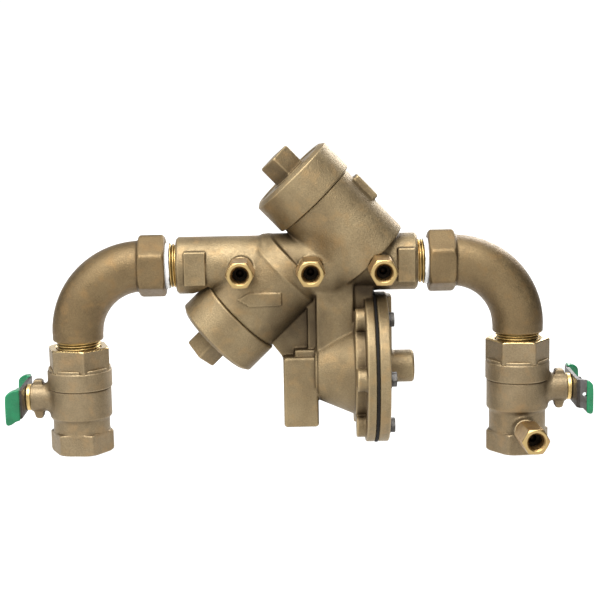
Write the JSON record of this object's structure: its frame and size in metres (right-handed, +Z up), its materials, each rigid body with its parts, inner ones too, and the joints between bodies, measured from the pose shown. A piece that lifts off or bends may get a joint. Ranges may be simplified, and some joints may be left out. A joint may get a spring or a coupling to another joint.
{
  "type": "backflow preventer",
  "caption": "Reduced-pressure backflow preventer with two angled check valves, a side relief valve, elbows, ball-valve shutoffs and test cocks.",
  "frame": {"origin": "centre of the inlet port's bottom face, where the supply pipe screws in", "axes": "+X along the run from outlet to inlet, +Y towards the back (the test cocks face -Y), +Z up"},
  "size_m": [0.4344, 0.1186, 0.2349],
  "materials": {
    "bronze_casting": "bead-blasted",
    "elbow_casting": "bead-blasted",
    "valve_forging": "bead-blasted",
    "machined_brass": "machined",
    "stainless_steel": "polished",
    "zinc_plated_steel": "zinc plated",
    "black_rubber": "matte",
    "white_ptfe": "satin",
    "green_vinyl": "glossy dipped",
    "acetal_plastic": "satin"
  },
  "bodies": {
    "casting": {"body": "bronze_casting", "check_seat_inlet": "machined_brass", "check_seat_outlet": "machined_brass", "check_spring_inlet": "stainless_steel", "check_spring_outlet": "stainless_steel", "check_cap_inlet": "bronze_casting", "check_cap_outlet": "bronze_casting", "cap_o_rings": "black_rubber", "relief_seat": "stainless_steel", "relief_spring": "stainless_steel", "relief_diaphragm": "black_rubber", "relief_cover": "bronze_casting", "cover_bolts": "zinc_plated_steel", "inlet_elbow": "elbow_casting", "outlet_elbow": "elbow_casting", "thread_tape": "white_ptfe", "test_cock_seats": "white_ptfe", "test_cock_1_body": "machined_brass", "test_cock_2_body": "machined_brass", "test_cock_3_body": "machined_brass", "test_cock_4_body": "machined_brass", "inlet_valve_body": "valve_forging", "inlet_valve_adapter": "valve_forging", "inlet_ball_seats": "white_ptfe", "inlet_stem_packing": "white_ptfe", "inlet_gland": "machined_brass", "outlet_valve_body": "valve_forging", "outlet_valve_adapter": "valve_forging", "outlet_ball_seats": "white_ptfe", "outlet_stem_packing": "white_ptfe", "outlet_gland": "machined_brass"},
    "inlet_check": {"check_poppet_inlet": "acetal_plastic", "check_disc_inlet": "black_rubber", "disc_retainer_inlet": "stainless_steel"},
    "outlet_check": {"check_poppet_outlet": "acetal_plastic", "check_disc_outlet": "black_rubber", "disc_retainer_outlet": "stainless_steel"},
    "relief_shuttle": {"relief_stem": "stainless_steel", "relief_seal_disc": "black_rubber", "diaphragm_plates": "zinc_plated_steel"},
    "inlet_shutoff": {"inlet_ball": "stainless_steel", "inlet_stem": "machined_brass", "inlet_handle": "zinc_plated_steel", "inlet_handle_grips": "green_vinyl", "inlet_handle_nut": "zinc_plated_steel"},
    "outlet_shutoff": {"outlet_ball": "stainless_steel", "outlet_stem": "machined_brass", "outlet_handle": "zinc_plated_steel", "outlet_handle_grips": "green_vinyl", "outlet_handle_nut": "zinc_plated_steel"},
    "test_cock_1": {"test_cock_1_ball": "stainless_steel", "test_cock_1_stem": "machined_brass"},
    "test_cock_2": {"test_cock_2_ball": "stainless_steel", "test_cock_2_stem": "machined_brass"},
    "test_cock_3": {"test_cock_3_ball": "stainless_steel", "test_cock_3_stem": "machined_brass"},
    "test_cock_4": {"test_cock_4_ball": "stainless_steel", "test_cock_4_stem": "machined_brass"}
  },
  "joints": [
    {"name": "inlet_check_opens", "type": "slide", "parent": "casting", "child": "inlet_check", "axis": [-0.6884, 0, 0.7254], "range_m": [0, 0.01], "stiffness_N_per_m": 400, "springref_m": -0.01, "deforming": ["check_spring_inlet"]},
    {"name": "outlet_check_opens", "type": "slide", "parent": "casting", "child": "outlet_check", "axis": [-0.7193, 0, -0.6947], "range_m": [0, 0.01], "stiffness_N_per_m": 400, "springref_m": -0.01, "deforming": ["check_spring_outlet"]},
    {"name": "relief_closes", "type": "slide", "parent": "casting", "child": "relief_shuttle", "axis": [-1, 0, 0], "range_m": [0, 0.0059], "stiffness_N_per_m": 1200, "springref_m": -0.008, "deforming": ["relief_spring", "relief_diaphragm"]},
    {"name": "inlet_shutoff_turn", "type": "hinge", "parent": "casting", "child": "inlet_shutoff", "pos_m": [0, 0, 0.0477], "axis": [1, 0, 0], "range_deg": [0, 90]},
    {"name": "outlet_shutoff_turn", "type": "hinge", "parent": "casting", "child": "outlet_shutoff", "pos_m": [-0.3304, 0, 0.0477], "axis": [-1, 0, 0], "range_deg": [0, 90]},
    {"name": "test_cock_1_turn", "type": "hinge", "parent": "casting", "child": "test_cock_1", "pos_m": [0.00339, -0.04307, 0.0208], "axis": [0, 0, -1], "range_deg": [0, 90]},
    {"name": "test_cock_2_turn", "type": "hinge", "parent": "casting", "child": "test_cock_2", "pos_m": [-0.1037, -0.0402, 0.146], "axis": [0, 0, -1], "range_deg": [0, 90]},
    {"name": "test_cock_3_turn", "type": "hinge", "parent": "casting", "child": "test_cock_3", "pos_m": [-0.1557, -0.0402, 0.146], "axis": [0, 0, -1], "range_deg": [0, 90]},
    {"name": "test_cock_4_turn", "type": "hinge", "parent": "casting", "child": "test_cock_4", "pos_m": [-0.2062, -0.0402, 0.146], "axis": [0, 0, -1], "range_deg": [0, 90]}
  ]
}
